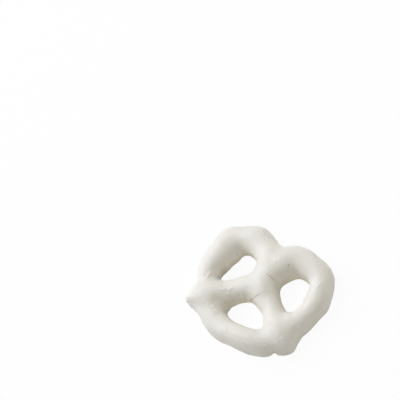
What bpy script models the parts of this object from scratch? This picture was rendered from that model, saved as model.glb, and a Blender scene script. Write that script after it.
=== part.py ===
"""A mini pretzel under a thick coat of white yogurt, lying flat on its base.

One rope of dough makes the whole pretzel. Its middle is the front arc of the ring. From there
it runs up both sides, round the two lobes and down into the notch between them. The two ends
lie side by side there, part again in the middle, and rest on the front of the ring, where
their tips poke out past it. The coat rounds every join, so the pretzel is one solid.

X runs from lobe to lobe, Y from the front arc to the notch, Z up. Metres.
"""
import bmesh
import bpy
from mathutils import Matrix, Vector

MM = 0.001

# Driving dimensions
PRETZEL_WIDTH = 42.0 * MM       # over both lobes
FOOT_SPREAD = 0.3 * MM          # how far the foot of the coat stands out past the rope
FOOT_MIDDLE = 0.3 * MM          # middle of the foot above the base
FOOT_HALF_HEIGHT = 1.4 * MM

# How the coat is laid
ROPE_SIDES = 16                 # flats round the bare rope
ROPE_STEP = 0.9 * MM            # length of rope between two sections
COAT_GRAIN = 0.95 * MM          # size of the facets of the coat
COAT_ROUNDS = 26                # passes that round the coat into the joins
COAT_EVEN = 0.5                 # how far one pass moves a point towards its neighbours
BASE_SNAP = 0.12 * MM           # points this close to the tray lie on it

# Looks of the coat
COAT_COLOUR = (0.80, 0.78, 0.73, 1.0)
COAT_ROUGHNESS = 0.5

# The way of the rope from its left tip to its right tip, drawn on a pretzel 42 mm wide.
# Each way point is x, y, half width and the height of its middle above the base, in mm.
DRAWN_WIDTH = 42.0
WAY_POINTS = (
    (-19.5, -11.0, 1.3, 2.65),       # left tip
    (-18.2, -10.4, 2.5, 2.5),
    (-15.9, -9.5, 3.35, 4.3),
    (-12.4, -7.8, 3.75, 4.5),        # laps over the ring
    (-9.3, -5.0, 4.25, 2.65),
    (-6.6, -2.2, 3.65, 2.9),         # left arm
    (-3.4, 0.1, 3.8, 3.5),
    (-1.5, 2.4, 3.75, 3.0),          # middle of the pretzel
    (-0.7, 5.3, 3.7, 3.4),
    (-1.0, 10.1, 4.05, 4.4),         # left side of the notch
    (-4.8, 12.9, 4.35, 3.3),
    (-9.3, 14.3, 4.65, 3.25),        # left lobe
    (-12.8, 12.9, 4.05, 3.2),
    (-16.3, 10.8, 4.45, 3.1),
    (-16.3, 6.6, 4.85, 3.0),
    (-17.1, 2.7, 4.25, 3.45),        # left side of the ring
    (-17.1, -1.0, 3.35, 3.8),
    (-15.3, -4.2, 3.85, 2.8),
    (-13.2, -8.2, 4.2, 3.05),        # under the left end
    (-9.4, -11.5, 3.95, 2.95),
    (-5.1, -14.1, 3.75, 2.7),
    (0.5, -14.5, 3.45, 3.6),         # front arc
    (5.6, -14.3, 3.65, 3.65),
    (9.5, -13.0, 4.05, 2.45),
    (12.8, -9.8, 3.25, 3.25),        # under the right end
    (14.8, -5.7, 4.0, 3.2),
    (16.2, -1.9, 3.5, 2.75),
    (17.4, 1.4, 3.35, 3.05),         # right side of the ring
    (17.5, 4.9, 3.9, 3.05),
    (16.9, 8.6, 3.35, 3.75),
    (14.9, 12.2, 3.8, 3.15),
    (9.5, 14.0, 4.2, 3.3),           # right lobe
    (4.5, 13.6, 4.6, 2.95),
    (2.5, 9.9, 4.5, 4.15),           # right side of the notch
    (1.1, 6.0, 3.6, 3.5),
    (0.5, 2.2, 4.25, 3.8),           # middle of the pretzel
    (4.2, -1.1, 3.85, 2.95),
    (7.2, -2.9, 3.1, 3.5),           # right arm
    (9.4, -5.6, 3.95, 3.0),
    (12.6, -8.0, 3.95, 3.85),        # laps over the ring
    (15.0, -9.9, 3.65, 2.9),
    (16.6, -10.9, 3.5, 2.1),
    (18.0, -11.8, 2.3, 2.45),        # right tip
)


def clear_scene():
    """Removes whatever the scene holds."""
    for thing in list(bpy.data.objects):
        bpy.data.objects.remove(thing, do_unlink=True)


def rope_points(way_points):
    """Way points in metres, as vectors of place and half width."""
    drawn = PRETZEL_WIDTH / DRAWN_WIDTH
    return [Vector((x, y, height, half)) * drawn for x, y, half, height in way_points]


def slope(before, here, after):
    """How place and half width change for each metre of rope at a way point."""
    return (after - before) / ((after - here).xyz.length + (here - before).xyz.length)


def smooth_run(before, start, end, after, share):
    """Place and half width at a share of the way from start to end, on a smooth curve."""
    length = (end - start).xyz.length
    leave = slope(before, start, end) * length
    arrive = slope(start, end, after) * length
    square, cube = share * share, share * share * share
    return (start * (2 * cube - 3 * square + 1) + leave * (cube - 2 * square + share)
            + end * (3 * square - 2 * cube) + arrive * (cube - square))


def sections(points):
    """Sections of the rope, close together on the smooth curve through its points."""
    placed = []
    for index in range(len(points) - 1):
        start, end = points[index], points[index + 1]
        before = points[max(index - 1, 0)]
        after = points[min(index + 2, len(points) - 1)]
        count = max(1, round((end - start).xyz.length / ROPE_STEP))
        placed += [smooth_run(before, start, end, after, step / count) for step in range(count)]
    return placed + [points[-1]]


def section_frame(placed, index, high):
    """Places a unit circle square across the rope at one of its sections, as high as asked."""
    along = placed[min(index + 1, len(placed) - 1)].xyz - placed[max(index - 1, 0)].xyz
    turn = along.to_track_quat("Z", "Y").to_matrix().to_4x4()
    shape = Matrix.Diagonal((placed[index].w, high or placed[index].w, 1.0, 1.0))
    return Matrix.Translation(placed[index].xyz) @ turn @ shape


def sweep(bm, placed, high=None):
    """Sweeps a section along its places and closes both ends: round, or else as high as asked."""
    frame = section_frame(placed, 0, high)
    start = bmesh.ops.create_circle(bm, cap_ends=True, segments=ROPE_SIDES, radius=1.0, matrix=frame)
    rim = list(dict.fromkeys(edge for corner in start["verts"] for edge in corner.link_edges))
    for index in range(1, len(placed)):
        swept = bmesh.ops.extrude_edge_only(bm, edges=rim)["geom"]
        rim = [item for item in swept if isinstance(item, bmesh.types.BMEdge)]
        corners = [item for item in swept if isinstance(item, bmesh.types.BMVert)]
        following = section_frame(placed, index, high)
        bmesh.ops.transform(bm, matrix=following @ frame.inverted(), verts=corners)
        frame = following
    bmesh.ops.contextual_create(bm, geom=rim)


def lay_rope(bm, placed):
    """Lays the round rope, and the flat foot of coat that runs down onto the tray beside it."""
    sweep(bm, placed)
    foot = [Vector((place.x, place.y, FOOT_MIDDLE, place.w + FOOT_SPREAD)) for place in placed]
    sweep(bm, foot, FOOT_HALF_HEIGHT)
    bmesh.ops.recalc_face_normals(bm, faces=bm.faces[:])


def coat(mesh):
    """Fuses the rope where it touches itself, and returns the coat over it as a new mesh."""
    rope = bpy.data.objects.new("rope", mesh)
    bpy.context.scene.collection.objects.link(rope)
    skin = rope.modifiers.new("coat", "REMESH")
    skin.mode = "VOXEL"
    skin.voxel_size = COAT_GRAIN
    even = rope.modifiers.new("rounding", "SMOOTH")
    even.factor = COAT_EVEN
    even.iterations = COAT_ROUNDS
    shaped = bpy.data.meshes.new_from_object(rope.evaluated_get(bpy.context.evaluated_depsgraph_get()))
    bpy.data.objects.remove(rope, do_unlink=True)
    return shaped


def press_base(bm):
    """Flattens what the soft coat pushes below the tray, so the pretzel has a flat base."""
    whole = bm.verts[:] + bm.edges[:] + bm.faces[:]
    bmesh.ops.bisect_plane(bm, geom=whole, dist=BASE_SNAP, plane_co=(0, 0, 0), plane_no=(0, 0, 1))
    for corner in bm.verts:
        if corner.co.z < BASE_SNAP:
            corner.co.z = 0.0


def centre_on_base(bm):
    """Moves the pretzel so that the middle of its base box is the origin."""
    low = [min(corner.co[axis] for corner in bm.verts) for axis in range(2)]
    high = [max(corner.co[axis] for corner in bm.verts) for axis in range(2)]
    middle = Vector(((low[0] + high[0]) / 2, (low[1] + high[1]) / 2, 0.0))
    bmesh.ops.translate(bm, vec=-middle, verts=bm.verts[:])


def pretzel_mesh(way_points):
    """The coated pretzel as one closed mesh."""
    bm = bmesh.new()
    lay_rope(bm, sections(rope_points(way_points)))
    bare = bpy.data.meshes.new("rope")
    bm.to_mesh(bare)
    bm.free()

    bm = bmesh.new()
    bm.from_mesh(coat(bare))
    press_base(bm)
    centre_on_base(bm)
    bmesh.ops.recalc_face_normals(bm, faces=bm.faces[:])
    mesh = bpy.data.meshes.new("yogurt_pretzel")
    bm.to_mesh(mesh)
    bm.free()
    mesh.shade_smooth()
    return mesh


def yogurt_coat():
    """Matte white yogurt."""
    material = bpy.data.materials.new("yogurt_coat")
    material.use_nodes = True
    shader = material.node_tree.nodes["Principled BSDF"]
    shader.inputs["Base Color"].default_value = COAT_COLOUR
    shader.inputs["Roughness"].default_value = COAT_ROUGHNESS
    shader.inputs["Metallic"].default_value = 0.0
    return material


clear_scene()
pretzel = bpy.data.objects.new("yogurt_pretzel", pretzel_mesh(WAY_POINTS))
pretzel.data.materials.append(yogurt_coat())
bpy.context.scene.collection.objects.link(pretzel)
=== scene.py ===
"""The looks of a yogurt covered pretzel: a small baked pretzel under a thick coat of white yogurt.

It lies flat on a white table. The whole pretzel is one piece: its dough is drawn as one rope, the
coat is laid over it, and the coat then gets the marks that the real one has. Metres, Z up.
"""
import math
import random

import bmesh
import bpy
import numpy as np
from mathutils import Matrix, Vector, noise
from mathutils.bvhtree import BVHTree
from mathutils.kdtree import KDTree


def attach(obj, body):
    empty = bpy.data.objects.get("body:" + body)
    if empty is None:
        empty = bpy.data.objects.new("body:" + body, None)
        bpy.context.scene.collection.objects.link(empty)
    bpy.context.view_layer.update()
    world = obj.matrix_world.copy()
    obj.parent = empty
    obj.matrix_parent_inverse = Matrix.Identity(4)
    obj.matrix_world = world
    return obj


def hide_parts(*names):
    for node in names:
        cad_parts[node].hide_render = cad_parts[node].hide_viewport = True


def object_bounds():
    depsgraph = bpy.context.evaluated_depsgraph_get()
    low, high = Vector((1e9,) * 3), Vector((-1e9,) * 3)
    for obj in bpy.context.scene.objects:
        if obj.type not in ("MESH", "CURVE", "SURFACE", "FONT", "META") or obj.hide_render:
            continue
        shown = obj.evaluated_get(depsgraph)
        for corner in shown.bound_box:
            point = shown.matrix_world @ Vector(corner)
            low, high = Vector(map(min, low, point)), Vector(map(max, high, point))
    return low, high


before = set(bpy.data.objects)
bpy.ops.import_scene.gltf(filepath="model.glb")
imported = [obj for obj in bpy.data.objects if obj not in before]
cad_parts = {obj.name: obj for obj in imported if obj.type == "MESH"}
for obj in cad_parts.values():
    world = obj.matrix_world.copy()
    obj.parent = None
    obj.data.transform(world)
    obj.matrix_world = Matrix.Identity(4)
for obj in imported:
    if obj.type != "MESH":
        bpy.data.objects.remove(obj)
cad_low, cad_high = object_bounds()
MM = 0.001


# The camera looks down on the pretzel from its front right, through a long lens, and is rolled a
# third of the way to its side. It is made first, because marks on the coat are placed through it.
CAMERA_PLACE = Vector((259.2, -161.1, 576.8)) * MM
CAMERA_AIM = Vector((-33.82, 19.21, 0.0)) * MM
CAMERA_ROLL = math.radians(30.22)
CAMERA_LENS = 198.9             # for a sensor 36 wide
SENSOR_WIDTH = 36.0
FRAME_PIXELS = 400


def make_camera():
    """A camera at its place, rolled about its line of sight."""
    camera = bpy.data.objects.new("camera", bpy.data.cameras.new("camera"))
    camera.data.lens = CAMERA_LENS
    camera.data.sensor_width = SENSOR_WIDTH
    camera.data.clip_start = 10 * MM
    level = (CAMERA_AIM - CAMERA_PLACE).to_track_quat("-Z", "Y").to_matrix().to_4x4()
    camera.matrix_world = Matrix.Translation(CAMERA_PLACE) @ level @ Matrix.Rotation(-CAMERA_ROLL, 4, "Z")
    bpy.context.scene.collection.objects.link(camera)
    bpy.context.scene.camera = camera
    return camera


def sight_line(pixel):
    """Direction from the camera through a pixel of the photograph."""
    across = (pixel[0] / FRAME_PIXELS - 0.5) * SENSOR_WIDTH / CAMERA_LENS
    down = (pixel[1] / FRAME_PIXELS - 0.5) * SENSOR_WIDTH / CAMERA_LENS
    return (camera.matrix_world.to_3x3() @ Vector((across, -down, -1.0))).normalized()


camera = make_camera()


# The dough. One rope, about as thick as a pencil, is laid in a ring with its two ends crossing
# the middle, side by side, and pressed onto the front of the ring, where the tips poke out.
ROPE_SIDES = 20                 # flats round the bare rope
ROPE_STEP = 0.7 * MM            # length of rope between two sections
FOOT_SPREAD = 0.3 * MM          # how far the foot of the coat stands out past the rope
FOOT_MIDDLE = 0.3 * MM
FOOT_HALF_HEIGHT = 1.4 * MM
WAY_POINTS = (                  # x, y, half width and height of its middle in mm, from tip to tip
    (-19.5, -11.0, 1.3, 2.65),       # left tip
    (-18.2, -10.4, 2.5, 2.5),
    (-15.9, -9.5, 3.35, 4.3),
    (-12.4, -7.8, 3.75, 4.5),        # laps over the ring
    (-9.3, -5.0, 4.25, 2.65),
    (-6.6, -2.2, 3.65, 2.9),         # left arm
    (-3.4, 0.1, 3.8, 3.5),
    (-1.5, 2.4, 3.75, 3.0),          # middle of the pretzel
    (-0.7, 5.3, 3.7, 3.4),
    (-1.0, 10.1, 4.05, 4.4),         # left side of the notch
    (-4.8, 12.9, 4.35, 3.3),
    (-9.3, 14.3, 4.65, 3.25),        # left lobe
    (-12.8, 12.9, 4.05, 3.2),
    (-16.3, 10.8, 4.45, 3.1),
    (-16.3, 6.6, 4.85, 3.0),
    (-17.1, 2.7, 4.25, 3.45),        # left side of the ring
    (-17.1, -1.0, 3.35, 3.8),
    (-15.3, -4.2, 3.85, 2.8),
    (-13.2, -8.2, 4.2, 3.05),        # under the left end
    (-9.4, -11.5, 3.95, 2.95),
    (-5.1, -14.1, 3.75, 2.7),
    (0.5, -14.5, 3.45, 3.6),         # front arc
    (5.6, -14.3, 3.65, 3.65),
    (9.5, -13.0, 4.05, 2.45),
    (12.8, -9.8, 3.25, 3.25),        # under the right end
    (14.8, -5.7, 4.0, 3.2),
    (16.2, -1.9, 3.5, 2.75),
    (17.4, 1.4, 3.35, 3.05),         # right side of the ring
    (17.5, 4.9, 3.9, 3.05),
    (16.9, 8.6, 3.35, 3.75),
    (14.9, 12.2, 3.8, 3.15),
    (9.5, 14.0, 4.2, 3.3),           # right lobe
    (4.5, 13.6, 4.6, 2.95),
    (2.5, 9.9, 4.5, 4.15),           # right side of the notch
    (1.1, 6.0, 3.6, 3.5),
    (0.5, 2.2, 4.25, 3.8),           # middle of the pretzel
    (4.2, -1.1, 3.85, 2.95),
    (7.2, -2.9, 3.1, 3.5),           # right arm
    (9.4, -5.6, 3.95, 3.0),
    (12.6, -8.0, 3.95, 3.85),        # laps over the ring
    (15.0, -9.9, 3.65, 2.9),
    (16.6, -10.9, 3.5, 2.1),
    (18.0, -11.8, 2.3, 2.45),        # right tip
)


def slope(before, here, after):
    """How place and half width change for each metre of rope at a way point."""
    return (after - before) / ((after - here).xyz.length + (here - before).xyz.length)


def smooth_run(before, start, end, after, share):
    """Place and half width at a share of the way from start to end, on a smooth curve."""
    length = (end - start).xyz.length
    leave = slope(before, start, end) * length
    arrive = slope(start, end, after) * length
    square, cube = share * share, share * share * share
    return (start * (2 * cube - 3 * square + 1) + leave * (cube - 2 * square + share)
            + end * (3 * square - 2 * cube) + arrive * (cube - square))


def sections(points):
    """Sections of the rope, close together on the smooth curve through its points."""
    placed = []
    for index in range(len(points) - 1):
        start, end = points[index], points[index + 1]
        before = points[max(index - 1, 0)]
        after = points[min(index + 2, len(points) - 1)]
        count = max(1, round((end - start).xyz.length / ROPE_STEP))
        placed += [smooth_run(before, start, end, after, step / count) for step in range(count)]
    return placed + [points[-1]]


def section_frame(placed, index, high):
    """Places a unit circle square across the rope at one of its sections, as high as asked."""
    along = placed[min(index + 1, len(placed) - 1)].xyz - placed[max(index - 1, 0)].xyz
    turn = along.to_track_quat("Z", "Y").to_matrix().to_4x4()
    shape = Matrix.Diagonal((placed[index].w, high or placed[index].w, 1.0, 1.0))
    return Matrix.Translation(placed[index].xyz) @ turn @ shape


def sweep(bm, placed, high=None):
    """Sweeps a section along its places and closes both ends: round, or else as high as asked."""
    place = section_frame(placed, 0, high)
    start = bmesh.ops.create_circle(bm, cap_ends=True, segments=ROPE_SIDES, radius=1.0, matrix=place)
    rim = list(dict.fromkeys(edge for corner in start["verts"] for edge in corner.link_edges))
    for index in range(1, len(placed)):
        swept = bmesh.ops.extrude_edge_only(bm, edges=rim)["geom"]
        rim = [item for item in swept if isinstance(item, bmesh.types.BMEdge)]
        corners = [item for item in swept if isinstance(item, bmesh.types.BMVert)]
        following = section_frame(placed, index, high)
        bmesh.ops.transform(bm, matrix=following @ place.inverted(), verts=corners)
        place = following
    bmesh.ops.contextual_create(bm, geom=rim)


def bare_rope():
    """The round rope, and the low foot that the coat forms beside it, as one loose mesh."""
    points = [Vector((x, y, height, half)) * MM for x, y, half, height in WAY_POINTS]
    placed = sections(points)
    bm = bmesh.new()
    sweep(bm, placed)
    foot = [Vector((place.x, place.y, FOOT_MIDDLE, place.w + FOOT_SPREAD)) for place in placed]
    sweep(bm, foot, FOOT_HALF_HEIGHT)
    bmesh.ops.recalc_face_normals(bm, faces=bm.faces[:])
    mesh = bpy.data.meshes.new("rope")
    bm.to_mesh(mesh)
    bm.free()
    return mesh


# The coat. Warm white yogurt is poured over the dough and sets round it, a good millimetre thick.
# It fills the corners where the rope meets itself, and the tray makes its underside flat.
COAT_GRAIN = 0.5 * MM
COAT_EVEN = 0.5                 # how far one pass moves a point towards its neighbours
COAT_REACH = 2.42 * MM          # how far the rounding of the joins reaches
COAT_ROUNDS = round(2 * (COAT_REACH / COAT_GRAIN) ** 2 / COAT_EVEN)
COAT_HALVINGS = 2               # of the squares of the smooth coat that the marks are laid on
BASE_SNAP = 0.05 * MM           # points this close to the table lie on it


def coat_over(rope, halvings):
    """Fuses the rope where it touches itself, and returns the coat over it, its squares halved."""
    bare = bpy.data.objects.new("rope", rope)
    bpy.context.scene.collection.objects.link(bare)
    skin = bare.modifiers.new("coat", "REMESH")
    skin.mode = "VOXEL"
    skin.voxel_size = COAT_GRAIN
    even = bare.modifiers.new("rounding", "SMOOTH")
    even.factor = COAT_EVEN
    even.iterations = COAT_ROUNDS
    finer = bare.modifiers.new("finer", "SUBSURF")
    finer.levels = finer.render_levels = halvings
    coated = bpy.data.meshes.new_from_object(bare.evaluated_get(bpy.context.evaluated_depsgraph_get()))
    bpy.data.objects.remove(bare, do_unlink=True)
    bm = bmesh.new()
    bm.from_mesh(coated)
    return bm


def set_on_table(bm):
    """Cuts the coat off flat on the table, and leaves its underside open for now."""
    whole = bm.verts[:] + bm.edges[:] + bm.faces[:]
    bmesh.ops.bisect_plane(bm, geom=whole, dist=BASE_SNAP, plane_co=(0, 0, 0), plane_no=(0, 0, 1),
                           clear_inner=True)
    for corner in bm.verts:
        if corner.co.z < BASE_SNAP:
            corner.co.z = 0.0


def frame_fit(bm):
    """The small move and stretch that bring the coat into the solid's box."""
    low = Vector(min(corner.co[axis] for corner in bm.verts) for axis in range(3))
    high = Vector(max(corner.co[axis] for corner in bm.verts) for axis in range(3))
    stretch = [(cad_high[axis] - cad_low[axis]) / (high[axis] - low[axis]) for axis in range(3)]
    return Matrix.Translation(cad_low) @ Matrix.Diagonal((*stretch, 1.0)) @ Matrix.Translation(-low)


NUDGES = (                      # pixel, reach and move in pixels of the photograph
    ((189.0, 290.5), 7.0, (1.6, 0.9)),
    ((190.0, 306.0), 9.0, (0.5, -0.4)),
    ((274.5, 355.0), 4.5, (0.0, -2.0)),
    ((318.0, 322.0), 14.0, (-0.5, -0.5)),
    ((320.0, 258.0), 14.0, (-0.5, 0.5)),
    ((229.5, 311.0), 4.0, (0.9, 0.6)),
    ((287.5, 313.5), 5.0, (0.4, -1.2)),
    ((303.0, 337.0), 6.0, (-0.4, -0.4)),
    ((234.0, 267.0), 8.0, (-1.2, -1.2)),
    ((221.5, 278.5), 4.0, (-0.9, -0.2)),
    ((254.0, 226.0), 9.0, (0.0, 0.5)),
    ((297.0, 348.0), 6.0, (-0.7, -0.4)),
    ((285.5, 309.0), 5.0, (0.7, -0.2)),
)


def pixel_of(place):
    """The pixel of the photograph at which a place shows."""
    seen = camera.matrix_world.inverted() @ place
    scale = CAMERA_LENS / SENSOR_WIDTH * FRAME_PIXELS / -seen.z
    return Vector((FRAME_PIXELS / 2 + seen.x * scale, FRAME_PIXELS / 2 - seen.y * scale))


def nudge(bm):
    """Moves the coat a little where its outline in the photograph leaves the rope's round shape."""
    pixel_size = (CAMERA_AIM - CAMERA_PLACE).length * SENSOR_WIDTH / CAMERA_LENS / FRAME_PIXELS
    seen = [(corner, pixel_of(corner.co)) for corner in bm.verts]
    for pixel, reach, move in NUDGES:
        across = camera.matrix_world.to_3x3() @ Vector((move[0], -move[1], 0.0)) * pixel_size
        for corner, spot in seen:
            share = (spot - Vector(pixel)).length / reach
            if share < 1:
                level = corner.co.z
                corner.co += across * (1 - share * share) ** 2
                corner.co.z = max(corner.co.z, 0.0) if level else 0.0


def settle(corners):
    """Lays points of the coat on its smooth skin, and leaves those on the table there."""
    for corner in corners:
        level = corner.co.z
        corner.co = skin.find_nearest(corner.co)[0]
        if level == 0.0:
            corner.co.z = 0.0


coat = coat_over(bare_rope(), 0)
smooth_coat = coat_over(bare_rope(), COAT_HALVINGS)
for bm in (coat, smooth_coat):
    set_on_table(bm)
fit = frame_fit(smooth_coat)
for bm in (coat, smooth_coat):
    bmesh.ops.transform(bm, matrix=fit, verts=bm.verts[:])
    nudge(bm)
skin = BVHTree.FromBMesh(smooth_coat)
settle(coat.verts)


# Where the marks lie. The coat has cracked in a few places, a skin of it has folded over in one,
# and rubbed and lumpy patches show where pieces lay against each other. Pixels of the photograph.
CRACKS = (                      # pixels from end to end, and depth in mm
    (((264.5, 272.5), (270, 276.2), (276.3, 281.8)), 0.16),
    (((276, 281.5), (275.4, 286), (275.8, 291.5)), 0.07),
    (((276.3, 281.8), (281, 285)), 0.05),
    (((250.5, 300.5), (255, 297), (261.5, 292.3)), 0.14),
    (((261.5, 292.3), (266.5, 291)), 0.05),
    (((236, 253), (239.2, 257.2)), 0.10),
    (((201, 274.8), (205, 275), (209.5, 273.6)), 0.07),
    (((222.8, 281.5), (221.7, 284.5), (222, 287.5)), 0.10),
    (((225.3, 300.5), (225.6, 305)), 0.08),
    (((297, 269.5), (299.2, 276.5)), 0.09),
    (((222, 255.5), (225.5, 259)), 0.05),
    (((268.5, 321.5), (273.5, 326.5)), 0.04),
    (((268.8, 326.3), (273, 321.8)), 0.04),
)
LOOSE_CRACKS = 6                # short ones out of the camera's sight
LOOSE_CRACK_LENGTH = (1.5, 3.5)             # in mm, as are the next ones
LOOSE_CRACK_DEPTH = (0.04, 0.09)
LOOSE_CRACK_LOWEST = 2.5
FOLDS = (                       # pixels from end to end, and height in mm
    (((206.3, 278.6), (209, 275), (212.6, 271.3)), 0.17),
    (((223.3, 323.5), (225.4, 327.5), (225.5, 332), (223.9, 337.5)), 0.14),
    (((225.5, 271.5), (233, 264.5), (239, 259.8)), 0.10),
)
PIMPLES = (                     # pixel of the middle, radius and height in mm
    ((219.0, 331.0), 1.80, 0.08),
    ((224.2, 287.8), 0.40, 0.13),
    ((226.6, 289.6), 0.50, 0.18),
    ((229.6, 290.2), 0.58, 0.22),
    ((231.3, 288.6), 0.42, 0.17),
    ((228.2, 293.0), 0.44, 0.16),
    ((241.8, 322.9), 0.36, 0.14),
    ((239.5, 326.4), 0.34, 0.12),
    ((258.2, 336.4), 0.40, 0.16),
    ((264.0, 240.2), 0.40, 0.18),
    ((275.5, 261.4), 0.42, 0.24),
    ((268.4, 271.2), 0.46, 0.24),
    ((269.8, 273.8), 0.40, 0.20),
    ((265.2, 270.6), 0.35, 0.12),
    ((267.2, 273.2), 0.34, 0.16),
    ((263.4, 286.6), 0.36, 0.14),
    ((269.5, 292.4), 0.34, 0.12),
    ((251.6, 331.3), 0.40, 0.20),
    ((253.2, 331.8), 0.34, 0.12),
    ((228.5, 323.3), 0.45, 0.16),
    ((250.0, 291.5), 0.36, 0.12),
    ((245.0, 278.5), 0.30, 0.05),
    ((332.6, 283.4), 0.75, 0.36),
    ((332.0, 280.6), 0.50, 0.18),
)
PITS = (                        # pixel of the middle, radius and depth in mm
    ((217.5, 299.5), 2.40, 0.26),
    ((288.5, 265.1), 0.34, 0.16),
    ((197.8, 294.3), 0.24, 0.05),
)
LOOSE_PITS = 4
LOOSE_PIT_RADIUS = (0.22, 0.36)
LOOSE_PIT_DEPTH = (0.06, 0.16)
LOOSE_PIT_LOWEST = 2.0
PATCHES = (                     # pixels from end to end, reach in pixels, bumps, their height in mm
    ((208, 288.5), (225, 289.5), 3.2, 28, 0.24),
    ((223.5, 288.5), (231.5, 291.5), 2.8, 22, 0.28),
    ((208, 303), (222, 318), 3.4, 28, 0.20),
    ((262, 230.5), (267.5, 242), 2.6, 26, 0.26),
    ((294.5, 250), (300, 256), 2.2, 13, 0.26),
    ((310.5, 254.5), (314.5, 262), 2.4, 10, 0.20),
    ((317.5, 284), (323.5, 288), 2.4, 14, 0.28),
    ((233.5, 329), (237, 340), 2.6, 12, 0.24),
    ((240, 338.5), (256, 347), 4.4, 26, 0.19),
    ((256, 341), (272, 345.5), 4.0, 28, 0.21),
    ((270, 329), (285, 343), 5.0, 26, 0.15),
    ((283, 318), (300, 327), 4.4, 24, 0.20),
    ((325, 262), (331, 283), 3.6, 26, 0.20),
    ((205, 262), (211, 271), 3.0, 12, 0.14),
    ((322, 289), (316, 312), 4.0, 22, 0.16),
    ((196, 284), (203, 300), 3.6, 12, 0.12),
    ((228, 292), (246, 296), 2.6, 11, 0.14),
    ((243, 231), (258, 236), 3.6, 14, 0.10),
)
LOOSE_PATCHES = 18              # more of them, out of the camera's sight
LOOSE_PATCH_REACH = (0.5, 1.4)
LOOSE_PATCH_HEIGHT = (0.08, 0.20)
LOOSE_PATCH_BUMPS = (5, 11)
LOOSE_PATCH_LOWEST = 0.8
LOOSE_PIMPLES = 170             # small ones anywhere
LOOSE_PIMPLE_RADIUS = (0.14, 0.30)
LOOSE_PIMPLE_HEIGHT = (0.03, 0.13)
BUMP_RADIUS = (0.18 * MM, 0.52 * MM)
LOWEST_SHARE = 0.45             # height of a patch's smallest bump, as a share of its largest
HEIGHT_SPREAD = (0.6, 1.0)      # and how far the height of each may fall short of that
PATH_STEP = 0.25                # pixels between two points of a crack or fold
PATH_WANDER = 0.35              # pixels it strays from the straight line
WANDER_SIZE = 2.2               # pixels from one bend to the next
LOOSE_STEP = 0.08               # the same three for a loose crack, in mm, and its wander as a share
LOOSE_WANDER = 0.2
LOOSE_WANDER_SIZE = 0.7
SIGHT_SLACK = 0.5 * MM          # a point this far behind the one that is seen is out of sight
SEED = 7

chance = random.Random(SEED)
noise.seed_set(SEED)


def touch(pixel):
    """The point of the coat that the camera sees at a pixel, or None beside it."""
    return skin.ray_cast(camera.location, sight_line(pixel))[0]


def path_on_coat(pixels):
    """Points along a wandering line that the camera sees from pixel to pixel, and how far along."""
    seen = []
    for start, end in zip(pixels, pixels[1:]):
        length = math.dist(start, end)
        for step in range(max(1, round(length / PATH_STEP))):
            share = step * PATH_STEP / length
            spot = Vector(start).lerp(Vector(end), share)
            stray = noise.noise_vector(Vector((*spot, 0.0)) / WANDER_SIZE) * PATH_WANDER
            point = touch((spot.x + stray.x, spot.y + stray.y))
            if point:
                seen.append(point)
    return [(point, step / (len(seen) - 1)) for step, point in enumerate(seen)]


def out_of_sight(count, lowest):
    """Points of the coat above a height that the camera doesn't see."""
    found = []
    corners = [corner for corner in smooth_coat.verts if corner.co.z > lowest]
    while len(found) < count:
        corner = chance.choice(corners)
        line = corner.co - camera.location
        hit = skin.ray_cast(camera.location, line.normalized())[0]
        if hit is None or (hit - corner.co).length > SIGHT_SLACK:
            found.append(corner.co.copy())
    return found


def loose_path(start, length):
    """Points along a wandering line over the coat from a start, and how far along."""
    heading = Vector((chance.uniform(-1, 1), chance.uniform(-1, 1), chance.uniform(-1, 1)))
    point, points = start, []
    for _ in range(round(length / (LOOSE_STEP * MM))):
        place, normal = skin.find_nearest(point)[:2]
        points.append(place)
        heading = heading + noise.noise_vector(place / (LOOSE_WANDER_SIZE * MM)) * LOOSE_WANDER
        heading = (heading - normal * heading.dot(normal)).normalized()
        point = place + heading * LOOSE_STEP * MM
    return [(point, step / (len(points) - 1)) for step, point in enumerate(points)]


def lump(point, height):
    """A bump at a point, mostly a small low one: place, radius and height."""
    size = chance.random() ** 2
    radius = BUMP_RADIUS[0] + (BUMP_RADIUS[1] - BUMP_RADIUS[0]) * size
    share = LOWEST_SHARE + (1 - LOWEST_SHARE) * size
    return point, radius, height * share * chance.uniform(*HEIGHT_SPREAD)


def strewn(patch):
    """Bumps strewn over a patch that the camera sees: place, radius and height."""
    start, end, reach, count, height = patch
    bumps = []
    for step in range(count):
        spot = Vector(start).lerp(Vector(end), (step + chance.random()) / count)
        pixel = (spot.x + chance.gauss(0, reach / 2), spot.y + chance.gauss(0, reach / 2))
        point = touch(pixel)
        if point:
            bumps.append(lump(point, height * MM))
    return bumps


def strewn_round(middle):
    """Bumps strewn round a point of the coat: place, radius and height."""
    reach = chance.uniform(*LOOSE_PATCH_REACH) * MM
    height = chance.uniform(*LOOSE_PATCH_HEIGHT) * MM
    bumps = []
    for _ in range(chance.randint(*LOOSE_PATCH_BUMPS)):
        stray = Vector((chance.gauss(0, reach), chance.gauss(0, reach), chance.gauss(0, reach)))
        bumps.append(lump(skin.find_nearest(middle + stray)[0], height))
    return bumps


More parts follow.
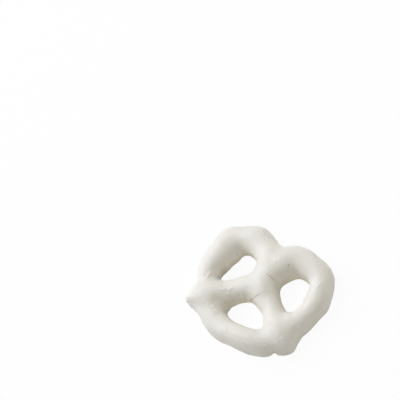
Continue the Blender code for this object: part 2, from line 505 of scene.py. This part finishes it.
cracks = [(path_on_coat(pixels), depth * MM) for pixels, depth in CRACKS]
for start in out_of_sight(LOOSE_CRACKS, LOOSE_CRACK_LOWEST * MM):
    path = loose_path(start, chance.uniform(*LOOSE_CRACK_LENGTH) * MM)
    cracks.append((path, chance.uniform(*LOOSE_CRACK_DEPTH) * MM))
folds = [(path_on_coat(pixels), height * MM) for pixels, height in FOLDS]
bumps = [(touch(pixel), radius * MM, height * MM) for pixel, radius, height in PIMPLES if touch(pixel)]
for patch in PATCHES:
    bumps += strewn(patch)
for middle in out_of_sight(LOOSE_PATCHES, LOOSE_PATCH_LOWEST * MM):
    bumps += strewn_round(middle)
corners = smooth_coat.verts[:]
for _ in range(LOOSE_PIMPLES):
    spot = chance.choice(corners).co.copy()
    radius = chance.uniform(*LOOSE_PIMPLE_RADIUS) * MM
    bumps.append((spot, radius, chance.uniform(*LOOSE_PIMPLE_HEIGHT) * MM))
pits = [(touch(pixel), radius * MM, depth * MM) for pixel, radius, depth in PITS if touch(pixel)]
for spot in out_of_sight(LOOSE_PITS, LOOSE_PIT_LOWEST * MM):
    radius = chance.uniform(*LOOSE_PIT_RADIUS) * MM
    pits.append((spot, radius, chance.uniform(*LOOSE_PIT_DEPTH) * MM))


# Finer facets where the marks come. The smooth coat has facets of half a millimetre, and each turn
# halves those near its marks, so that a crack a tenth of a millimetre wide has walls.
MARGINS = (0.75 * MM, 0.40 * MM)
FINE_MARGIN = 0.25 * MM
FAINT = 0.035 * MM              # a bump lower than this needs no facets of its own
BOLD = 0.10 * MM                # a bump higher than this gets the finest


def nearness(places):
    """A tree that finds which of these places lie near a point."""
    near = KDTree(len(places))
    for index, place in enumerate(places):
        near.insert(place, index)
    near.balance()
    return near


def refine(bm, marks, margin):
    """Splits each edge near the marks in two, with new facets between the new points."""
    near = nearness(marks)
    close = [face for face in bm.faces if near.find(face.calc_center_median())[2] < margin]
    edges = list(dict.fromkeys(edge for face in close for edge in face.edges))
    split = bmesh.ops.subdivide_edges(bm, edges=edges, cuts=1, use_grid_fill=True)
    settle(item for item in split["geom_inner"] if isinstance(item, bmesh.types.BMVert))


line_marks = [point for path, _ in cracks + folds for point, _ in path]
marks = line_marks + [bump[0] for bump in bumps if bump[2] > FAINT] + [pit[0] for pit in pits]
for margin in MARGINS:
    refine(coat, marks, margin)
refine(coat, line_marks + [bump[0] for bump in bumps if bump[2] > BOLD], FINE_MARGIN)
bmesh.ops.triangulate(coat, faces=coat.faces[:])
smooth_coat.free()


# The relief of the coat. It sets slightly uneven, and bumps, pits, folds and cracks stand out of
# it or go into it, square to its surface. Along the table it ends in a thin uneven foot.
WAVES = (                       # how wide and how high its unevenness is
    (6.5 * MM, 0.12 * MM),
    (2.6 * MM, 0.045 * MM),
)
WAVE_SHIFT = Vector((3.1, 5.7, 1.3))
ROUND_BUMP = 0.5 * MM           # a bump wider than this is rounder than the others
BUMP_REACH = 1.6                # how far a lumpy one may reach, in radii
ROUGHNESS = (0.6, 1.2)          # of the smoothest and of the roughest bump
LUMPINESS = (0.8, 0.5)          # of the outline and of the height of a bump
LUMP_SIZES = (0.32 * MM, 0.17 * MM)
PLAIN_DEPTH = 0.12 * MM         # a mark this high or deep shows its own colour in full
WIDE_PIT = 1.0 * MM             # a wider one is a dent of the whole coat and shows no dough
CRACK_HALF_WIDTH = 0.075 * MM
CRACK_REACH = 4.0               # in half widths of a crack, as are the next three
CRACK_SPREAD = 1.6
LIP_PLACE = 2.4
LIP_SPREAD = 1.5
LIP_HEIGHT = 0.12               # as a share of the crack's depth
CRACK_TAPER = 5                 # its depth fades over a fifth of its length at each end
FOLD_TAPER = 4                  # and a fold's height over a quarter
FOLD_REACH = 0.9 * MM
FOLD_STEEP = 0.16 * MM          # how wide a fold is on its steep side and on its gentle side
FOLD_GENTLE = 0.75 * MM
FOOT_HEIGHT = 0.95 * MM
FOOT_REACH = 0.14 * MM
FOOT_PATCH = 4.0 * MM           # length of foot from one change to the next
FOOT_CHANGE = 2.2
FOOT_SHIFT = Vector((9.0, 2.0, 4.0))
FOOT_RAG = 0.8 * MM             # length of one of its small rags, and how much it adds
FOOT_RAG_SHARE = 0.12
FOOT_SHARE = (0.15, 0.45, 1.0)  # how much of it stands out at least, as a rule and at most
STEEP_FACE = 0.05               # a point whose face turns less outwards than this has no foot
CLEAR_OF_TABLE = 0.02 * MM
# The walls of the three holes get a painted warm shade, strongest low down near the table.
HOLES = (                       # x and y of the middle in mm, and how strong the painted shade is on its wall
    (-9.0, 4.2, 1.6),
    (9.8, 4.0, 2.4),
    (0.2, -8.0, 3.2),
)
WALL_REACH = 7.5 * MM           # from the middle of a hole to where its wall ends
WALL_TOP = 4.5 * MM


def bell(share):
    """Falls smoothly from 1 at the middle to 0 at the edge."""
    return (1 - share * share) ** 2 if share < 1 else 0.0


def tapered(along, taper):
    """Falls from 1 to 0 at both ends of a path."""
    return min(1.0, taper * along, taper * (1 - along))


def unevenness(places):
    """Height of the coat's slow waves at each place."""
    heights = np.zeros(len(places))
    for turn, (width, height) in enumerate(WAVES):
        shift = WAVE_SHIFT * (turn + 1)
        heights += [noise.noise(place / width + shift) * height for place in places]
    return heights


def bump_relief(near, count):
    """How high the bumps lift each place, the highest where they overlap, and how dusty it is."""
    raised, dusty = np.zeros(count), np.zeros(count)
    for middle, radius, height in bumps:
        rough = chance.uniform(*ROUGHNESS) * min(1.0, ROUND_BUMP / radius)
        for place, index, distance in near.find_range(middle, radius * BUMP_REACH):
            lumpy = 1 + LUMPINESS[0] * noise.noise(place / LUMP_SIZES[0]) * rough
            uneven = 1 + LUMPINESS[1] * noise.noise(place / LUMP_SIZES[1]) * rough
            share = bell(distance / radius / lumpy) * uneven
            raised[index] = max(raised[index], height * share)
            dusty[index] = max(dusty[index], share * min(1.0, height / PLAIN_DEPTH))
    return raised, dusty


def pit_relief(near, count):
    """How deep the pits and dents sink each place, and how much of the dough shows there."""
    sunk, pitted = np.zeros(count), np.zeros(count)
    for middle, radius, depth in pits:
        for place, index, distance in near.find_range(middle, radius):
            share = bell(distance / radius)
            sunk[index] += depth * share
            if radius < WIDE_PIT:
                pitted[index] = max(pitted[index], share * min(1.0, depth / PLAIN_DEPTH))
    return sunk, pitted


def crack_relief(near, count):
    """How deep the cracks cut each place, less the lips beside them, and how dark it is."""
    cut, cracked = np.zeros(count), np.zeros(count)
    for path, depth in cracks:
        closest = {}
        for point, along in path:
            for place, index, distance in near.find_range(point, CRACK_REACH * CRACK_HALF_WIDTH):
                if distance < closest.get(index, (1.0, 0.0))[0]:
                    closest[index] = (distance, along)
        for index, (distance, along) in closest.items():
            strength = tapered(along, CRACK_TAPER)
            share = bell(distance / (CRACK_SPREAD * CRACK_HALF_WIDTH))
            lip = bell(abs(distance / CRACK_HALF_WIDTH - LIP_PLACE) / LIP_SPREAD)
            cut[index] += depth * strength * (share - LIP_HEIGHT * lip)
            cracked[index] = max(cracked[index], share * strength * min(1.0, depth / PLAIN_DEPTH))
    return cut, cracked


def fold_relief(near, normals):
    """How high the folds lift each place: steep on one side, gentle on the other."""
    lifted = np.zeros(len(normals))
    for path, height in folds:
        closest = {}
        for step, (point, along) in enumerate(path):
            after = path[min(step + 1, len(path) - 1)][0]
            before = path[max(step - 1, 0)][0]
            for place, index, distance in near.find_range(point, FOLD_REACH):
                if distance < closest.get(index, (1.0,))[0]:
                    closest[index] = (distance, along, (after - before).normalized(), place - point)
        for index, (distance, along, forward, away) in closest.items():
            side = forward.cross(away).dot(normals[index])
            width = FOLD_STEEP if side < 0 else FOLD_GENTLE
            lifted[index] += height * tapered(along, FOLD_TAPER) * bell(abs(side) / width)
    return lifted


def spread_foot(corners, places, normals):
    """Moves the coat's lowest points outwards, by more or less from one stretch to the next."""
    least, usual, most = FOOT_SHARE
    for corner, place, normal in zip(corners, places, normals):
        outward = Vector((normal.x, normal.y, 0.0))
        if place.z < FOOT_HEIGHT and outward.length > STEEP_FACE:
            spot = Vector((place.x, place.y, 0.0))
            ends = noise.noise(spot / FOOT_PATCH + FOOT_SHIFT)
            ragged = noise.noise(spot / FOOT_RAG)
            spread = min(most, max(least, usual + FOOT_CHANGE * ends + FOOT_RAG_SHARE * ragged))
            rounded = (1 - (place.z / FOOT_HEIGHT) ** 4) ** 2
            corner.co += outward.normalized() * FOOT_REACH * spread * rounded


def hole_wall_shade(places):
    """How much painted warm shade each place gets on the wall of a hole, more towards the table."""
    wall_shade = np.zeros(len(places))
    spots = np.array([tuple(place) for place in places])
    for x, y, shade_strength in HOLES:
        away = np.hypot(spots[:, 0] - x * MM, spots[:, 1] - y * MM) / WALL_REACH
        wall_shade = np.maximum(wall_shade, shade_strength * np.clip(1 - away * away, 0, 1) ** 2)
    return np.clip(wall_shade * np.clip(1 - spots[:, 2] / WALL_TOP, 0, 1), 0, 1)


def relief(bm):
    """Moves the coat's points by all its marks, and tells how dusty, pitted and cracked each is, and how
    much painted shade it gets on a hole's wall.
    """
    corners = bm.verts[:]
    places = [corner.co.copy() for corner in corners]
    normals = [corner.normal.copy() for corner in corners]
    near = nearness(places)
    raised, dusty = bump_relief(near, len(places))
    sunk, pitted = pit_relief(near, len(places))
    cut, cracked = crack_relief(near, len(places))
    heights = unevenness(places) + raised - sunk - cut + fold_relief(near, normals)
    for corner, normal, height in zip(corners, normals, heights):
        if corner.co.z > 0:
            corner.co += normal * float(height)
            corner.co.z = max(corner.co.z, CLEAR_OF_TABLE)
    spread_foot(corners, places, normals)
    return {"dusty": dusty, "pitted": pitted, "cracked": cracked, "thin_coat_and_wall_shade": hole_wall_shade(places)}


coat.normal_update()
looks = relief(coat)


def close_base(bm):
    """Closes the flat underside."""
    rim = [edge for edge in bm.edges if edge.is_boundary]
    bmesh.ops.triangle_fill(bm, edges=rim, use_beauty=True, use_dissolve=False)
    bmesh.ops.recalc_face_normals(bm, faces=bm.faces[:])


close_base(coat)


# Its finish. The yogurt is off-white and dries to a soft satin. It is creamier where the coat is
# thin, chalky on rubbed bumps, and shows the baked dough in the depth of its cracks and pits. The
# walls of its holes get a painted warm shade, deepest towards the table.
COAT_COLOUR = (0.830, 0.805, 0.735, 1.0)
THIN_COLOUR = (0.810, 0.772, 0.675, 1.0)
# painted warm shade for the walls of the holes
WALL_SHADE_COLOUR = (0.805, 0.735, 0.580, 1.0)
CHALK_COLOUR = (0.915, 0.907, 0.882, 1.0)
CRACK_COLOUR = (0.500, 0.410, 0.300, 1.0)
DOUGH_COLOUR = (0.360, 0.190, 0.090, 1.0)
CLOUD_SIZE = 5.0 * MM           # size of the areas where the coat is thin
DUST_SIZE = 0.3 * MM            # size of the chalky specks on a bump
GRAIN_SIZE = 0.16 * MM          # size of the fine grain of the dried yogurt
GRAIN_DEPTH = 0.012 * MM
RUBBED_SIZE = 3.5 * MM          # size of the areas that are rubbed rough
CRUST_SIZE = 0.55 * MM          # size of their crust
CRUST_DEPTH = 0.06 * MM
SATIN = 0.42                    # roughness where it is smoothest
SATIN_WORN = 0.51               # where it is worn
MATTE = 0.64                    # and where it is chalky
WEAR_SIZE = 1.6 * MM
LIGHT_DEPTH = 0.45 * MM         # how far light soaks into the yogurt
LIGHT_SOAK = 0.15


def yogurt_coat():
    """The material of the dried yogurt."""
    material = bpy.data.materials.new("yogurt_coat")
    material.use_nodes = True
    nodes, links = material.node_tree.nodes, material.node_tree.links
    shader = nodes["Principled BSDF"]
    place = nodes.new("ShaderNodeTexCoord").outputs["Object"]

    def speckle(size, detail):
        texture = nodes.new("ShaderNodeTexNoise")
        texture.inputs["Scale"].default_value = 1 / size
        texture.inputs["Detail"].default_value = detail
        links.new(place, texture.inputs["Vector"])
        return texture.outputs["Fac"]

    def stretched(value, low, high, least, most):
        ranged = nodes.new("ShaderNodeMapRange")
        for name, number in (("From Min", low), ("From Max", high), ("To Min", least), ("To Max", most)):
            ranged.inputs[name].default_value = number
        links.new(value, ranged.inputs["Value"])
        return ranged.outputs["Result"]

    def mixed(share, first, second):
        mix = nodes.new("ShaderNodeMix")
        mix.data_type = "RGBA"
        links.new(share, mix.inputs["Factor"])
        if isinstance(first, tuple):
            mix.inputs["A"].default_value = first
        else:
            links.new(first, mix.inputs["A"])
        mix.inputs["B"].default_value = second
        return mix.outputs["Result"]

    def times(first, second):
        product = nodes.new("ShaderNodeMath")
        product.operation = "MULTIPLY"
        links.new(first, product.inputs[0])
        links.new(second, product.inputs[1])
        return product.outputs["Value"]

    def kept(name):
        attribute = nodes.new("ShaderNodeAttribute")
        attribute.attribute_name = name
        return attribute.outputs["Fac"]

    thin_coat_and_wall_shade = stretched(speckle(CLOUD_SIZE, 3.0), 0.40, 0.75, 0.0, 0.7)
    chalk = times(kept("dusty"), stretched(speckle(DUST_SIZE, 2.0), 0.35, 0.65, 0.3, 1.0))
    colour = mixed(thin_coat_and_wall_shade, COAT_COLOUR, THIN_COLOUR)
    # painted warm shade on the walls of the holes, deeper towards the table
    colour = mixed(kept("thin_coat_and_wall_shade"), colour, WALL_SHADE_COLOUR)
    colour = mixed(chalk, colour, CHALK_COLOUR)
    colour = mixed(kept("cracked"), colour, CRACK_COLOUR)
    colour = mixed(kept("pitted"), colour, DOUGH_COLOUR)
    links.new(colour, shader.inputs["Base Color"])

    satin = stretched(speckle(WEAR_SIZE, 3.0), 0.35, 0.65, SATIN, SATIN_WORN)
    links.new(mixed(chalk, satin, (MATTE, MATTE, MATTE, 1.0)), shader.inputs["Roughness"])

    grain = nodes.new("ShaderNodeBump")
    grain.inputs["Strength"].default_value = 1.0
    grain.inputs["Distance"].default_value = GRAIN_DEPTH
    links.new(speckle(GRAIN_SIZE, 2.0), grain.inputs["Height"])
    crust = nodes.new("ShaderNodeBump")
    crust.inputs["Strength"].default_value = 1.0
    crust.inputs["Distance"].default_value = CRUST_DEPTH
    rubbed = stretched(speckle(RUBBED_SIZE, 2.0), 0.45, 0.65, 0.15, 1.0)
    links.new(times(speckle(CRUST_SIZE, 3.0), rubbed), crust.inputs["Height"])
    links.new(grain.outputs["Normal"], crust.inputs["Normal"])
    links.new(crust.outputs["Normal"], shader.inputs["Normal"])
    shader.inputs["Subsurface Weight"].default_value = LIGHT_SOAK
    shader.inputs["Subsurface Radius"].default_value = (1.0, 0.95, 0.8)
    shader.inputs["Subsurface Scale"].default_value = LIGHT_DEPTH
    return material


mesh = bpy.data.meshes.new("yogurt_pretzel_coat")
coat.to_mesh(mesh)
coat.free()
mesh.shade_smooth()
for name, values in looks.items():
    mesh.attributes.new(name, "FLOAT", "POINT").data.foreach_set("value", values)
mesh.materials.append(yogurt_coat())
pretzel = bpy.data.objects.new("yogurt_pretzel_coat", mesh)
bpy.context.scene.collection.objects.link(pretzel)
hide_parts("yogurt_pretzel")
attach(pretzel, "root")


# The table. It is white and lit so brightly that little of the pretzel's shadow shows on it.
TABLE_SIZE = 3.0
TABLE_COLOUR = (0.90, 0.90, 0.90, 1.0)
TABLE_ROUGHNESS = 0.9
TABLE_GLOW = 0.94               # share of the table's look that is plain white light


def white_table():
    """A plain pale floor under the pretzel."""
    bm = bmesh.new()
    bmesh.ops.create_grid(bm, x_segments=1, y_segments=1, size=TABLE_SIZE / 2)
    mesh = bpy.data.meshes.new("table")
    bm.to_mesh(mesh)
    bm.free()
    material = bpy.data.materials.new("white_table")
    material.use_nodes = True
    nodes, links = material.node_tree.nodes, material.node_tree.links
    shader = nodes["Principled BSDF"]
    shader.inputs["Base Color"].default_value = TABLE_COLOUR
    shader.inputs["Roughness"].default_value = TABLE_ROUGHNESS
    glow = nodes.new("ShaderNodeEmission")
    seen = nodes.new("ShaderNodeLightPath")
    share = nodes.new("ShaderNodeMath")
    share.operation = "MULTIPLY"
    share.inputs[1].default_value = TABLE_GLOW
    links.new(seen.outputs["Is Camera Ray"], share.inputs[0])
    look = nodes.new("ShaderNodeMixShader")
    links.new(share.outputs["Value"], look.inputs["Fac"])
    links.new(shader.outputs["BSDF"], look.inputs[1])
    links.new(glow.outputs["Emission"], look.inputs[2])
    links.new(look.outputs["Shader"], nodes["Material Output"].inputs["Surface"])
    mesh.materials.append(material)
    table = bpy.data.objects.new("table", mesh)
    bpy.context.scene.collection.objects.link(table)


white_table()


# The light. Soft boxes stand round the table, the strongest on the camera's left and behind.
LIGHT_DISTANCE = 1.0
LIGHT_SIZE = 0.6
LIGHTS = (                      # name, turn from +X and height in degrees, power in watts, tint
    ("key", 180, 35, 4.92, (0.96, 1.0, 1.11)),
    ("key_top", 180, 60, 3.18, (0.995, 1.0, 1.03)),
    ("back_left", 135, 35, 1.26, (0.995, 1.0, 1.015)),
    ("back", 90, 12, 1.36, (1.0, 1.0, 0.995)),
    ("back_right", 45, 12, 2.72, (1.04, 1.0, 0.91)),
    ("right_top", 0, 75, 1.00, (1.015, 1.0, 0.96)),
    ("front_right", 315, 35, 1.25, (1.035, 1.0, 0.91)),
    ("right", 345, 15, 0.60, (1.02, 1.0, 0.95)),
    ("front_left", 225, 35, 1.98, (0.995, 1.0, 1.01)),
)


def soft_box(name, turn, height, power, tint):
    """A square soft light that faces the pretzel."""
    lamp = bpy.data.lights.new(name, "AREA")
    lamp.size = LIGHT_SIZE
    lamp.energy = power
    lamp.color = tint
    light = bpy.data.objects.new(name, lamp)
    turn, height = math.radians(turn), math.radians(height)
    place = Vector((math.cos(turn) * math.cos(height), math.sin(turn) * math.cos(height), math.sin(height)))
    light.location = place * LIGHT_DISTANCE
    light.rotation_euler = (-place).to_track_quat("-Z", "Y").to_euler()
    bpy.context.scene.collection.objects.link(light)


for spec in LIGHTS:
    soft_box(*spec)
world = bpy.data.worlds.new("studio")
world.use_nodes = True
world.node_tree.nodes["Background"].inputs["Strength"].default_value = 0.0
bpy.context.scene.world = world
bpy.context.scene.view_settings.view_transform = "Standard"
